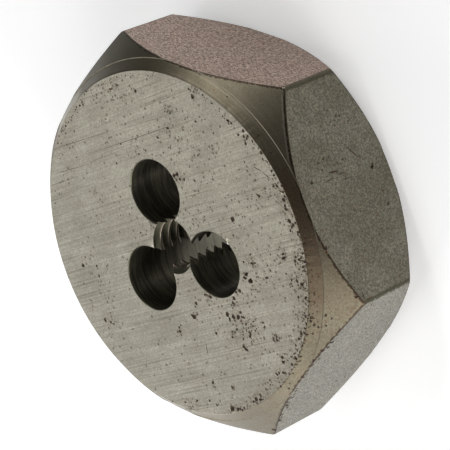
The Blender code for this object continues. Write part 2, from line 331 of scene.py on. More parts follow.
class DieSizes(bpy.types.PropertyGroup):
    """Sizes of the die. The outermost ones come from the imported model."""

    across_flats: FloatProperty(
        name="Across flats", description="Width of the hexagon from flat to flat",
        default=DIE_HIGH.y - DIE_LOW.y, **LENGTH)
    thickness: FloatProperty(
        name="Thickness", description="Height of the die from face to face",
        default=DIE_HIGH.z - DIE_LOW.z, **LENGTH)
    corner_round: FloatProperty(
        name="Corner round", description="Radius on the six upright edges",
        default=(SHARP_CORNER - DIE_HIGH.x) / (1 / math.cos(math.pi / HEX_SIDES) - 1), **LENGTH)
    edge_round: FloatProperty(
        name="Edge round", description="Wear on the curved edges between cone and flats",
        default=0.05 * MM, **LENGTH)
    band_overlap: FloatProperty(
        name="Band overlap", description="How far the foot of the sloping band would reach past the flats",
        default=0.03 * MM, **LENGTH)
    band_width: FloatProperty(
        name="Band width", description="Sloping band along a radius, from its foot in to the rim of the face",
        default=0.66 * MM, **LENGTH)
    band_depth: FloatProperty(
        name="Band depth", description="From the face down to the foot of the sloping band",
        default=0.64 * MM, **LENGTH)
    ledge_width: FloatProperty(
        name="Ledge width",
        description="Flat step between the band and the cone, which shines as a thin ring",
        default=0.07 * MM, **LENGTH)
    rim_round: FloatProperty(
        name="Rim round", description="Rounding of the rim of the flat round face",
        default=0.02 * MM, **LENGTH)
    cone_angle: FloatProperty(
        name="Cone angle", description="Slope of the cone, measured from the face",
        default=math.radians(45.0), subtype="ANGLE")
    chip_hole_diameter: FloatProperty(
        name="Chip hole", description="Diameter of the three chip holes",
        default=4.56 * MM, **LENGTH)
    chip_hole_circle: FloatProperty(
        name="Chip hole circle", description="Diameter of the circle that the chip holes stand on",
        default=7.49 * MM, **LENGTH)
    chip_hole_turn: FloatProperty(
        name="Chip hole turn", description="How far the chip holes stand off the corners of the hexagon",
        default=math.radians(-2.2), subtype="ANGLE")
    chip_hole_break: FloatProperty(
        name="Chip hole break", description="Rounding of the mouths of the chip holes",
        default=0.06 * MM, **LENGTH)
    thread_diameter: FloatProperty(
        name="Thread diameter", description="Diameter over the roots of the cut thread",
        default=4.166 * MM, **LENGTH)
    thread_pitch: FloatProperty(
        name="Thread pitch", description="Distance from one thread to the next",
        default=0.79375 * MM, **LENGTH)
    thread_start: FloatProperty(
        name="Thread start", description="Turn of the thread about its axis",
        default=math.pi, subtype="ANGLE")
    lead_in_diameter: FloatProperty(
        name="Lead-in diameter", description="Mouth of the short cone where the thread starts",
        default=3.7 * MM, **LENGTH)
    rim_wear: FloatProperty(
        name="Rim wear", description="How far chips have eaten into the rim of the face",
        default=0.035 * MM, **LENGTH)
    random_seed: IntProperty(
        name="Random seed", description="Start of the random places of pits and chips", default=SEED)


class DieColours(bpy.types.PropertyGroup):
    """Colours of the die, as they look in plain light."""

    # Also painted light in the lower half of the chip holes.
    ground_steel: FloatVectorProperty(
        name="Ground steel", description="The two round faces",
        default=(0.63, 0.613, 0.56), **COLOUR)
    # Also painted highlights on the turned steel.
    ground_line_and_highlight: FloatVectorProperty(
        name="Ground line", description="Light grinding lines on the faces",
        default=(0.715, 0.70, 0.645), **COLOUR)
    turned_steel: FloatVectorProperty(
        name="Turned steel", description="The cone",
        default=(0.43, 0.40, 0.335), **COLOUR)
    band_steel: FloatVectorProperty(
        name="Band steel", description="The sloping band round the face",
        default=(0.445, 0.41, 0.34), **COLOUR)
    turned_stain: FloatVectorProperty(
        name="Turned stain", description="Old brown film on the cone and the band",
        default=(0.30, 0.275, 0.22), **COLOUR)
    rosy_flat: FloatVectorProperty(
        name="Rosy flat", description="Flats with a reddish film",
        default=(0.77, 0.655, 0.595), **COLOUR)
    rosy_grain: FloatVectorProperty(
        name="Rosy grain", description="Second tint in the grain of the reddish flats",
        default=(0.82, 0.72, 0.65), **COLOUR)
    green_flat: FloatVectorProperty(
        name="Green flat", description="Flats with a grey-green film",
        default=(0.455, 0.455, 0.385), **COLOUR)
    brown_grain: FloatVectorProperty(
        name="Brown grain", description="Second tint in the grain of the grey-green flats",
        default=(0.50, 0.47, 0.405), **COLOUR)
    pale_flat: FloatVectorProperty(
        name="Pale flat", description="Flats rubbed bright",
        default=(0.55, 0.545, 0.51), **COLOUR)
    flat_speck: FloatVectorProperty(
        name="Flat speck", description="Dark grain of the flats",
        default=(0.24, 0.22, 0.19), **COLOUR)
    # Also painted shade on the turned steel at one corner.
    corner_film_and_shade: FloatVectorProperty(
        name="Corner film", description="Dark olive film on the rounded upright edges",
        default=(0.26, 0.25, 0.18), **COLOUR)
    # Also painted shade in the roots of the thread.
    hole_film_and_shade: FloatVectorProperty(
        name="Hole film", description="Burnt oil in the chip holes",
        default=(0.395, 0.39, 0.32), **COLOUR)
    thread_steel: FloatVectorProperty(
        name="Thread steel", description="Cut thread",
        default=(0.50, 0.465, 0.41), **COLOUR)
    # Also painted brown shade on one side of the turned steel.
    pit_brown_and_shade: FloatVectorProperty(
        name="Pit brown", description="Bottom of the rust pits",
        default=(0.33, 0.25, 0.18), **COLOUR)
    # The darkest brown, in the pits and along the edges of the cone and the flats.
    darkest_brown: FloatVectorProperty(
        name="Old dirt", description="Darkest rust and dirt, deep in the pits and along the edges",
        default=(0.19, 0.14, 0.10), **COLOUR)
    orange_rust: FloatVectorProperty(
        name="Orange rust", description="Live rust in a few pits",
        default=(0.48, 0.35, 0.25), **COLOUR)
    scraped_ledge: FloatVectorProperty(
        name="Scraped ledge", description="The thin step between the band and the cone",
        default=(0.58, 0.55, 0.48), **COLOUR)
    # Also painted highlights on the ledge and on one land of the lead-in, and the painted light gradient on
    # the faces.
    pale_chip: FloatVectorProperty(
        name="Pale chip", description="Bright chips, cream flecks and the mouth of the thread",
        default=(0.84, 0.81, 0.73), **COLOUR)


class StageValues(bpy.types.PropertyGroup):
    """The plain studio: floor, sky light and lamps."""

    floor_size: FloatProperty(
        name="Floor size", description="Side of the square floor", default=8.0, min=0.0, unit="LENGTH")
    floor_colour: FloatVectorProperty(
        name="Floor colour", description="Plain pale floor",
        default=(0.95, 0.95, 0.95), **COLOUR)
    floor_lift: FloatProperty(
        name="Floor lift", description="White that the camera sees on the floor beyond its own light",
        default=0.35, min=0.0, max=1.0, subtype="FACTOR")
    sky_level: FloatProperty(
        name="Sky level", description="Strength of the even light from all around", default=0.03, min=0.0)


def linear(colour):
    """A colour as it looks, turned into the light values that shaders work with."""
    def channel(value):
        return value / 12.92 if value <= 0.04045 else ((value + 0.055) / 1.055) ** 2.4
    return (*(channel(value) for value in colour), 1.0)


# Mesh tools


def new_object(name, bm):
    """Put a bmesh into the scene as an object, with its faces pointing out."""
    bmesh.ops.remove_doubles(bm, verts=bm.verts, dist=WELD)
    bmesh.ops.recalc_face_normals(bm, faces=bm.faces)
    mesh = bpy.data.meshes.new(name)
    bm.to_mesh(mesh)
    bm.free()
    obj = bpy.data.objects.new(name, mesh)
    bpy.context.scene.collection.objects.link(obj)
    return obj


def cut_away(body, cutter, overlaps=False):
    """Take a cutter out of the body, keep its finish on the cut, and delete it.

    Its parts may overlap if told.
    """
    step = body.modifiers.new(cutter.name, "BOOLEAN")
    step.operation = "DIFFERENCE"
    step.solver = "EXACT"
    step.material_mode = "TRANSFER"
    step.use_self = overlaps
    step.object = cutter
    keep_result(body)
    bpy.data.objects.remove(cutter, do_unlink=True)


def keep_result(body):
    """Make the result of the body's modifiers its own mesh."""
    graph = bpy.context.evaluated_depsgraph_get()
    made = bpy.data.meshes.new_from_object(body.evaluated_get(graph))
    made.name = body.name
    body.modifiers.clear()
    body.data = made


def bend(first, corner, last, steps):
    """Points of a round that leaves first and meets last, both tangent to the runs that meet at corner."""
    points = []
    for step in range(steps + 1):
        share = step / steps
        weights = ((1 - share) ** 2, 2 * share * (1 - share), share ** 2)
        points.append(tuple(
            sum(w * p[axis] for w, p in zip(weights, (first, corner, last))) for axis in range(len(first))
        ))
    return points


def spun(name, profile, steps, turn=0.0):
    """A closed turned solid from (radius, height) points that start and end on the Z axis."""
    bm = bmesh.new()
    chain = [bm.verts.new((radius, 0, height)) for radius, height in profile]
    edges = [bm.edges.new(pair) for pair in zip(chain, chain[1:])]
    bmesh.ops.spin(
        bm, geom=chain + edges, cent=(0, 0, 0), axis=(0, 0, 1), dvec=(0, 0, 0), angle=math.tau, steps=steps,
        use_duplicate=False,
    )
    bmesh.ops.rotate(bm, verts=bm.verts, cent=(0, 0, 0), matrix=Matrix.Rotation(turn, 3, "Z"))
    return new_object(name, bm)


# The turned hexagon


def hex_columns(sizes):
    """Outline of the hexagon: x, y and degrees of the flat that follows, anticlockwise from +X."""
    radius = sizes.corner_round
    tip = sizes.across_flats / 2 / math.cos(math.pi / HEX_SIDES)
    centre_radius = tip - radius / math.cos(math.pi / HEX_SIDES)
    half = math.pi / HEX_SIDES
    arcs = []
    for corner in range(HEX_SIDES):
        middle = math.tau * corner / HEX_SIDES
        centre = Vector((math.cos(middle), math.sin(middle))) * centre_radius
        angles = [middle - half + 2 * half * step / CORNER_STEPS for step in range(CORNER_STEPS + 1)]
        arcs.append([centre + Vector((math.cos(a), math.sin(a))) * radius for a in angles])
    columns = []
    for corner, arc in enumerate(arcs):
        flat = round(math.degrees(math.tau * corner / HEX_SIDES + half)) % 360
        before = (flat - 360 // HEX_SIDES) % 360
        following = arcs[(corner + 1) % HEX_SIDES][0]
        columns += [(p.x, p.y, before if step < CORNER_STEPS / 2 else flat) for step, p in enumerate(arc)]
        columns += [(*arc[-1].lerp(following, step / FLAT_STEPS), flat) for step in range(1, FLAT_STEPS)]
    return columns


def chipping(around, end):
    """Share of the full rim wear at a place round the front (end 1) or the back (end 0).

    Chips lie thick on the -Y side of the front and thin on its other sides. The back has a middling lot all
    round.
    """
    facing = max(0.0, -math.sin(around)) if end else BACK_FACING
    place = Vector((math.cos(around), math.sin(around), end)) * CHIP_RATE
    chips = sum(noise.noise(place * rate) * weight for rate, weight in (COARSE_CHIPS, FINE_CHIPS))
    least, further = WEAR_BY_FACING
    return max(0.0, chips) * (least + further * facing)


def end_rows(sizes, x, y, end):
    """One end of one column as (radius, depth, finish of the face that follows), from the rim to the flat.

    The end is 1 for the front and 0 for the back.
    """
    outline = math.hypot(x, y)
    around = math.atan2(y, x)
    foot = sizes.across_flats / 2 + sizes.band_overlap
    rim = foot - sizes.band_width
    ledge = foot + sizes.ledge_width
    wear = sizes.rim_wear * chipping(around, end)
    slope = math.atan2(sizes.band_depth, sizes.band_width)
    round_off = sizes.rim_round
    start = (rim - round_off - wear, 0.0)
    corner = (rim - wear * WEAR_AT_CORNER[0], wear * WEAR_AT_CORNER[1])
    head = (rim + round_off * math.cos(slope) - wear * WEAR_AT_BAND[0],
            round_off * math.sin(slope) + wear * WEAR_AT_BAND[1])
    rows = [(*p, "turned_band") for p in bend(start, corner, head, RIM_STEPS)]
    for step in range(1, BAND_STEPS + 1):
        share = step / BAND_STEPS
        radius = head[0] + (foot - head[0]) * share
        depth = head[1] + (sizes.band_depth - head[1]) * share
        rows.append((radius, depth, "turned_band" if step < BAND_STEPS else "scraped_ledge"))
    rows.append((ledge, sizes.band_depth, "turned_cone"))
    fall = math.tan(sizes.cone_angle)
    last = max(outline, ledge + CREEP)
    edge = min(sizes.edge_round, EDGE_SHARE_OF_CONE * (last - ledge))
    cone_end = (last - edge, sizes.band_depth + (last - edge - ledge) * fall)
    corner = (last, sizes.band_depth + (last - ledge) * fall)
    for step in range(1, CONE_STEPS):
        share = step / CONE_STEPS
        radius = ledge + (cone_end[0] - ledge) * share
        rows.append((radius, sizes.band_depth + (radius - ledge) * fall, "turned_cone"))
    rows += [(*p, "turned_cone") for p in bend(cone_end, corner, (last, corner[1] + edge), EDGE_STEPS)]
    # Where the flat lies inside the ring, it cuts off the rows beyond it.
    cut = sizes.band_depth - max(0.0, foot - outline) * math.tan(slope)
    beyond = 0
    for index, (radius, _, kind) in enumerate(rows):
        if radius > outline:
            rows[index] = (outline, cut + beyond * CREEP, kind)
            beyond += 1
    return rows


def turned_hexagon(sizes):
    """The whole outside of the die: two turned ends and six flats, closed by the two round faces."""
    bm = bmesh.new()
    grid = []
    finishes = []
    for x, y, flat in hex_columns(sizes):
        front = end_rows(sizes, x, y, 1)
        back = end_rows(sizes, x, y, 0)
        around = math.atan2(y, x)
        high = sizes.thickness - front[-1][1]
        low = back[-1][1]
        places = [(radius, sizes.thickness - depth) for radius, depth, _ in front]
        outline = front[-1][0]
        for step in range(1, SIDE_STEPS):
            places.append((outline, high + (low - high) * step / SIDE_STEPS))
        places += [(radius, depth) for radius, depth, _ in reversed(back)]
        grid.append([bm.verts.new((r * math.cos(around), r * math.sin(around), z)) for r, z in places])
        kinds = [kind for _, _, kind in front[:-1]]
        finishes.append(kinds + [FLAT_FINISH[flat]] * SIDE_STEPS + kinds[::-1])
    for index, here in enumerate(grid):
        there = grid[(index + 1) % len(grid)]
        for row, kind in enumerate(finishes[index]):
            face = bm.faces.new((here[row], here[row + 1], there[row + 1], there[row]))
            face.material_index = SLOT[kind]
    for ring in ([column[0] for column in grid], [column[-1] for column in reversed(grid)]):
        bm.faces.new(ring).material_index = SLOT["ground_face"]
    return new_object(PIECE_NAME, bm)


# Holes and thread


def with_finish(obj, finish):
    """Give a cutter its finish, so that the surface that it cuts carries it."""
    obj.data.materials.append(bpy.data.materials[finish])
    return obj


def chip_hole_cutter(sizes, index):
    """A drill for one chip hole, with rounded mouths."""
    radius = sizes.chip_hole_diameter / 2
    broken = sizes.chip_hole_break
    wide = radius + broken
    mouth = bend((wide, 0.0), (radius, 0.0), (radius, 2 * broken), RIM_STEPS)
    low = [(r, depth) for r, depth in mouth]
    high = [(r, sizes.thickness - depth) for r, depth in reversed(mouth)]
    profile = [(0, -CUT_OVERRUN), (wide, -CUT_OVERRUN)] + low + high
    profile += [(wide, sizes.thickness + CUT_OVERRUN), (0, sizes.thickness + CUT_OVERRUN)]
    cutter = spun("chip_hole_cutter", profile, HOLE_STEPS)
    around = sizes.chip_hole_turn + math.tau * index / CHIP_HOLES
    place = Vector((math.cos(around), math.sin(around), 0)) * sizes.chip_hole_circle / 2
    cutter.data.transform(Matrix.Translation(place))
    return with_finish(cutter, "drilled_hole")


def thread_height(sizes):
    """How far the crests of the thread stand out over its roots."""
    flank = sizes.thread_pitch * (1 - CREST_SHARE - ROOT_SHARE) / 2
    return flank / math.tan(HALF_THREAD_ANGLE)


def thread_tooth(sizes):
    """One pitch of the tap as (radius, height), with the die's crest and root slightly rounded."""
    pitch = sizes.thread_pitch
    root = sizes.thread_diameter / 2
    crest = root - thread_height(sizes)
    soft = SOFT_SHARE * pitch
    crest_end = pitch * CREST_SHARE
    root_start = crest_end + (root - crest) * math.tan(HALF_THREAD_ANGLE)
    root_end = root_start + pitch * ROOT_SHARE
    rise = (root - crest) / (root_start - crest_end)
    flank = crest + soft * rise
    points = bend((flank, -soft), (crest, 0), (crest, soft), THREAD_ROUND_STEPS)
    points += bend(
        (crest, crest_end - soft), (crest, crest_end), (flank, crest_end + soft), THREAD_ROUND_STEPS)
    points += [(root, root_start), (root, root_end)]
    return points


def tap_cutter(sizes):
    """The tap: a right-hand helix of the tooth, closed at each end by a fan to its axis."""
    tooth = thread_tooth(sizes)
    count = len(tooth)
    pitch = sizes.thread_pitch
    turns = math.ceil((sizes.thickness + 2 * CUT_OVERRUN) / pitch) + 1
    bottom = (sizes.thickness - (turns + 1) * pitch) / 2
    rows = turns * count + 1
    bm = bmesh.new()

    def point(step, row):
        around = math.tau * step / THREAD_STEPS + sizes.thread_start
        pitches, index = divmod(row, count)
        radius, height = tooth[index]
        rise = bottom + (pitches + step / THREAD_STEPS) * pitch + height
        return bm.verts.new((radius * math.cos(around), radius * math.sin(around), rise))

    # The last column meets the first one pitch higher, so the first column is one tooth longer.
    grid = [[point(step, row) for row in range(rows + (count if step == 0 else 0))]
            for step in range(THREAD_STEPS)]
    for step in range(THREAD_STEPS):
        here = grid[step]
        there = grid[step + 1] if step + 1 < THREAD_STEPS else grid[0][count:]
        for row in range(rows - 1):
            bm.faces.new((here[row], there[row], there[row + 1], here[row + 1]))
    low_hub = bm.verts.new((0, 0, bottom))
    high_hub = bm.verts.new((0, 0, bottom + (turns + 1) * pitch))
    low_rim = [column[0] for column in grid] + grid[0][count::-1]
    high_rim = [column[rows - 1] for column in grid] + grid[0][rows + count - 1:rows - 1:-1]
    for hub, rim in ((low_hub, low_rim), (high_hub, high_rim)):
        for start, end in zip(rim, rim[1:] + rim[:1]):
            if start is not end:
                bm.faces.new((hub, end, start))
    return with_finish(new_object("tap_cutter", bm), "cut_thread")


def lead_in_cutter(sizes, front):
    """The short cone that lets a screw find the thread, standing past one face."""
    mouth = sizes.lead_in_diameter / 2
    profile = [(0, -mouth), (mouth + CUT_OVERRUN, CUT_OVERRUN), (0, CUT_OVERRUN)]
    # Half a step of turn keeps the cone's edges off those of the thread.
    cutter = spun("lead_in_cutter", profile, THREAD_STEPS, math.pi / THREAD_STEPS)
    if front:
        cutter.data.transform(Matrix.Translation((0, 0, sizes.thickness)))
    else:
        cutter.data.transform(Matrix.Rotation(math.pi, 4, "X"))
    return with_finish(cutter, "bare_lead_in")


# Pits and chips


def photo_ray(pixel):
    """Where the camera stands and where it looks through a pixel of the photograph."""
    across = (pixel[0] - PHOTO_SIZE / 2) / PHOTO_SIZE * SENSOR_WIDTH
    up = (PHOTO_SIZE / 2 - pixel[1]) / PHOTO_SIZE * SENSOR_WIDTH
    direction = CAMERA_TURN.to_matrix() @ Vector((across, up, -CAMERA_LENS))
    return CAMERA_PLACE, direction.normalized()


def on_face(pixel, sizes):
    """Where the sight line through a pixel meets the plane of the face, in millimetres."""
    start, direction = photo_ray(pixel)
    return (start + direction * (sizes.thickness - start.z) / direction.z) / MM


def seen_spot(body, pixel):
    """Place and outward direction on the body behind a pixel of the photograph, or None past its outline."""
    hit, place, normal, _ = body.ray_cast(*photo_ray(pixel))
    return (place, normal) if hit else None


def hidden_spot(body, chance, sizes):
    """A random place on the body that the photograph doesn't show, or None where there is no surface."""
    around = chance.uniform(0, math.tau)
    direction = Vector((math.cos(around), math.sin(around), 0))
    if chance.random() < SHARE_ON_BACK:
        start = direction * sizes.across_flats / 2 * math.sqrt(chance.random()) * BACK_REACH
        start.z = -sizes.thickness
        aim = Vector((0, 0, 1))
    else:
        height = chance.uniform(*FLAT_HEIGHTS) * sizes.thickness
        start = direction * sizes.across_flats + Vector((0, 0, height))
        aim = -direction
    hit, place, normal, _ = body.ray_cast(start, aim)
    shown = (CAMERA_PLACE - place).dot(normal) > 0
    return (place, normal) if hit and not shown else None


def sink_lens(bm, place, turn, half, chance, finish):
    """An uneven lens that stands half out of the surface, with its half sizes along the axes of turn."""
    made = bmesh.ops.create_icosphere(bm, subdivisions=2 if max(half) > FINE_PIT else 1, radius=1.0)
    for vert in made["verts"]:
        rough = 1 + chance.uniform(-PIT_UNEVENNESS, PIT_UNEVENNESS)
        vert.co = place + turn @ Vector([c * h * rough for c, h in zip(vert.co, half)])
    for face in {f for vert in made["verts"] for f in vert.link_faces}:
        face.material_index = PIT_FINISHES.index(finish)


def add_pit(bm, spot, width, chance, finish):
    """One pit, turned and stretched at random."""
    place, normal = spot
    turn = normal.to_track_quat("Z", "Y").to_matrix() @ Matrix.Rotation(chance.uniform(0, math.tau), 3, "Z")
    stretch = chance.uniform(*PIT_STRETCH)
    half = Vector((width / 2 * stretch, width / 2 / stretch, width * chance.uniform(*PIT_DEPTH)))
    sink_lens(bm, place, turn, half, chance, finish)


def add_scratch(bm, body, ends, width, chance):
    """One long shallow cut between two pixels of the photograph."""
    spots = [seen_spot(body, pixel) for pixel in ends]
    if None in spots:
        return
    (start, normal), (end, _) = spots
    along = (end - start).normalized()
    turn = Matrix((along, normal.cross(along), normal)).transposed()
    half = Vector(((end - start).length / 2, width * MM / 2, width * MM * SCRATCH_DEPTH))
    sink_lens(bm, (start + end) / 2, turn, half, chance, "rust_pit")


def pit_cutter(body, sizes):
    """Every scratch and pit as one cutter: those of the photograph and a thin scatter on hidden sides."""
    chance = random.Random(sizes.random_seed)
    taken = []
    bm = bmesh.new()

    def try_pit(spot, middle, spread, finish):
        width = middle * MM * math.exp(chance.gauss(0, spread))
        if spot is None:
            return
        if any((spot[0] - place).length < PIT_CLEARANCE * (width + other) for place, other in taken):
            return
        taken.append((spot[0], width))
        add_pit(bm, spot, width, chance, finish)

    for *ends, width in SCRATCHES.values():
        add_scratch(bm, body, ends, width, chance)
    for start, end, across, count, middle, finish in PIT_ROWS.values():
        start, end = Vector(start), Vector(end)
        side = Vector((start.y - end.y, end.x - start.x)).normalized()
        for _ in range(count):
            at = start.lerp(end, chance.random()) + side * chance.gauss(0, across)
            try_pit(seen_spot(body, at), middle, WIDTH_SPREAD, finish)
    for pixel, spread, count, middle, finish in PIT_CLUSTERS.values():
        for _ in range(count):
            at = [chance.gauss(centre, reach / GROUP_SPREAD) for centre, reach in zip(pixel, spread)]
            try_pit(seen_spot(body, at), middle, WIDTH_SPREAD, finish)
    for _ in range(HIDDEN_PITS):
        try_pit(hidden_spot(body, chance, sizes), HIDDEN_WIDTH, HIDDEN_WIDTH_SPREAD, "rust_pit")
    cutter = new_object("pit_cutter", bm)
    for finish in PIT_FINISHES:
        with_finish(cutter, finish)
    return cutter


# Shader tools

FLOAT = "NodeSocketFloat"
VECTOR = "NodeSocketVector"


class Nodes:
    """Adds nodes to one tree and wires them. An input takes a number, a colour or another node's socket."""

    def __init__(self, tree):
        self.tree = tree

    def add(self, kind, inputs=None, **settings):
        node = self.tree.nodes.new(kind)
        for name, value in settings.items():
            setattr(node, name, value)
        for name, value in (inputs or {}).items():
            self.feed(node.inputs[name], value)
        return node

    def feed(self, socket, value):
        if isinstance(value, bpy.types.NodeSocket):
            self.tree.links.new(value, socket)
        else:
            socket.default_value = value

    def math(self, operation, *values):
        node = self.add("ShaderNodeMath", operation=operation)
        for socket, value in zip(node.inputs, values):
            self.feed(socket, value)
        return node.outputs[0]

    def vector(self, operation, *values, **named):
        node = self.add("ShaderNodeVectorMath", operation=operation)
        for socket, value in zip(node.inputs, values):
            self.feed(socket, value)
        for name, value in named.items():
            self.feed(node.inputs[name], value)
        return node.outputs["Value" if operation in {"DISTANCE", "DOT_PRODUCT", "LENGTH"} else "Vector"]

    def combine(self, x, y, z):
        return self.add("ShaderNodeCombineXYZ", {0: x, 1: y, 2: z}).outputs[0]

    def separate(self, vector):
        return self.add("ShaderNodeSeparateXYZ", {0: vector}).outputs

    def noise(self, vector, scale, detail=2.0, roughness=0.5):
        inputs = {"Vector": vector, "Scale": scale, "Detail": detail, "Roughness": roughness}
        return self.add("ShaderNodeTexNoise", inputs).outputs[0]

    def ramp(self, value, low, high, to_low=0.0, to_high=1.0):
        """A soft step: to_low below low and to_high above high."""
        inputs = {"Value": value, "From Min": low, "From Max": high, "To Min": to_low, "To Max": to_high}
        return self.add("ShaderNodeMapRange", inputs, interpolation_type="SMOOTHSTEP").outputs["Result"]

    def mix(self, share, first, second):
        """A colour between two. The numbers are the mix node's sockets for colours."""
        node = self.add("ShaderNodeMix", data_type="RGBA")
        for index, value in ((0, share), (6, first), (7, second)):
            self.feed(node.inputs[index], value)
        return node.outputs[2]

    def tint(self, colour, over, mask, share=None):
        """Lay the colour over on a colour where the mask says, up to the share if one is given."""
        if share is not None:
            mask = self.math("MULTIPLY", mask, share)
        return self.mix(mask, colour, linear(over))

    def bump(self, shader, height, strength):
        """Give a shader the small relief of its finish."""
        relief = self.add("ShaderNodeBump", {"Strength": strength, "Distance": BUMP_HEIGHT, "Height": height})
        self.feed(shader["Normal"], relief.outputs[0])

    def group(self, tree, **inputs):
        node = self.add("ShaderNodeGroup", node_tree=tree)
        for name, value in inputs.items():
            self.feed(node.inputs[name.replace("_", " ").capitalize()], value)
        return node.outputs


def new_group(name, inputs, outputs):
    """An empty shader node group with its sockets, as (tree, its tools, input sockets, output node)."""
    tree = bpy.data.node_groups.new(name, "ShaderNodeTree")
    for label, kind, value in inputs:
        socket = tree.interface.new_socket(name=label, in_out="INPUT", socket_type=kind)
        if value is not None:
            socket.default_value = value
    for label, kind in outputs:
        tree.interface.new_socket(name=label, in_out="OUTPUT", socket_type=kind)
    nodes = Nodes(tree)
    source = nodes.add("NodeGroupInput").outputs
    sink = nodes.add("NodeGroupOutput").inputs
    return tree, nodes, source, sink


def die_places(sizes):
    """Group: where a point of the die lies, in millimetres, and how much it belongs to each named side."""
    tree, nodes, _, sink = new_group("die_places", (), (
        ("Place", VECTOR), ("Radius", FLOAT), ("Around", VECTOR), ("Depth", FLOAT), ("Flat gap", FLOAT),
        ("Corner gap", FLOAT), ("Cone gap", FLOAT), ("Rim gap", FLOAT), ("Painted light gradient", FLOAT),
        *((side, FLOAT) for side in SIDES),
    ))
    own = nodes.add("ShaderNodeTexCoord").outputs["Object"]
    place = nodes.vector("SCALE", own, Scale=1 / MM)
    x, y, z = nodes.separate(place)
    flat_place = nodes.combine(x, y, 0.0)
    radius = nodes.vector("LENGTH", flat_place)
    around = nodes.vector("NORMALIZE", flat_place)
    middle = sizes.thickness / 2 / MM
    depth = nodes.math("SUBTRACT", middle, nodes.math("ABSOLUTE", nodes.math("SUBTRACT", z, middle)))

    def reach(first_degrees):
        found = None
        for turn in range(HEX_SIDES // 2):
            angle = math.radians(first_degrees + 360 / HEX_SIDES * turn)
            along = nodes.vector("DOT_PRODUCT", flat_place, (math.cos(angle), math.sin(angle), 0))
            along = nodes.math("ABSOLUTE", along)
            found = along if found is None else nodes.math("MAXIMUM", found, along)
        return found

    tip = sizes.across_flats / 2 / math.cos(math.pi / HEX_SIDES)
    tip -= sizes.corner_round * (1 / math.cos(math.pi / HEX_SIDES) - 1)
    ledge = sizes.across_flats / 2 + sizes.band_overlap + sizes.ledge_width
    beyond = nodes.math("SUBTRACT", radius, ledge / MM)
    cone_depth = nodes.math("MULTIPLY_ADD", beyond, math.tan(sizes.cone_angle), sizes.band_depth / MM)
    rim = (sizes.across_flats / 2 + sizes.band_overlap - sizes.band_width) / MM
    for output, value in {
        "Place": place,
        "Radius": radius,
        "Around": around,
        "Depth": depth,
        "Flat gap": nodes.math("SUBTRACT", sizes.across_flats / 2 / MM, reach(180 / HEX_SIDES)),
        "Corner gap": nodes.math("SUBTRACT", tip / MM, reach(0)),
        "Cone gap": nodes.math("SUBTRACT", depth, cone_depth),
        "Rim gap": nodes.math("SUBTRACT", rim, radius),
    }.items():
        nodes.feed(sink[output], value)
    for side, stretch in SIDES.items():
        aim, full, end = (math.radians(angle) for angle in stretch)
        facing = nodes.vector("DOT_PRODUCT", around, (math.cos(aim), math.sin(aim), 0))
        nodes.feed(sink[side], nodes.ramp(facing, math.cos(end), math.cos(full)))
    dull, bright = (on_face(pixel, sizes) for pixel in PAINTED_LIGHT_ENDS)
    way = (bright - dull) / (bright - dull).length_squared
    passed = nodes.vector("DOT_PRODUCT", nodes.vector("SUBTRACT", place, dull), way)
    nodes.feed(sink["Painted light gradient"], nodes.ramp(passed, 0.0, 1.0))
    return tree


def machining_marks():
    """Group: lines left by a tool. The lay's Z runs across the lines in millimetres, X and Y along them."""
    tree, nodes, source, sink = new_group(
        "machining_marks", (("Lay", VECTOR, None), ("Fineness", FLOAT, 6.0), ("Drift", FLOAT, 0.1)),
        (("Lines", FLOAT), ("Bright scratches", FLOAT), ("Dark scratches", FLOAT)))
    x, y, z = nodes.separate(source["Lay"])
    slow_x = nodes.math("MULTIPLY", x, source["Drift"])
    slow_y = nodes.math("MULTIPLY", y, source["Drift"])
    across = nodes.math("MULTIPLY", z, source["Fineness"])
    fine = nodes.noise(nodes.combine(slow_x, slow_y, across), 1.0, 3.0, 0.6)
    wide_place = nodes.combine(slow_x, nodes.math("ADD", slow_y, 7.0), nodes.math("MULTIPLY", z, 1.3))
    wide = nodes.noise(wide_place, 1.0)
    nodes.feed(sink["Lines"], nodes.math("MULTIPLY_ADD", wide, 0.35, nodes.math("MULTIPLY", fine, 0.65)))
    for output, shift in (("Bright scratches", 23.0), ("Dark scratches", 41.0)):
        place = nodes.combine(slow_x, nodes.math("ADD", slow_y, shift), nodes.math("MULTIPLY", across, 1.25))
        nodes.feed(sink[output], nodes.ramp(nodes.noise(place, 1.0, 0.0), 0.64, 0.74))
    return tree


def steel_grain():
    """Group: crisp small grain, finer dust, slow mottling, and a patchy tint about as coarse as the grain."""
    tree, nodes, source, sink = new_group(
        "steel_grain", (("Place", VECTOR, None), ("Grain size", FLOAT, 0.15)),
        (("Grain", FLOAT), ("Dust", FLOAT), ("Mottle", FLOAT), ("Tint", FLOAT)))
    rate = nodes.math("DIVIDE", 1.0, source["Grain size"])
    nodes.feed(sink["Grain"], nodes.ramp(nodes.noise(source["Place"], rate, 1.0, 0.5), 0.32, 0.68))
    finer = nodes.math("MULTIPLY", rate, 2.3)
    nodes.feed(sink["Dust"], nodes.ramp(nodes.noise(source["Place"], finer, 0.0), 0.4, 0.62))
    nodes.feed(sink["Mottle"], nodes.noise(source["Place"], 0.45, 2.0, 0.5))
    shifted = nodes.vector("ADD", source["Place"], (31.0, 17.0, 5.0))
    tint_rate = nodes.math("MULTIPLY", rate, 0.55)
    nodes.feed(sink["Tint"], nodes.ramp(nodes.noise(shifted, tint_rate, 2.0, 0.6), 0.3, 0.7))
    return tree


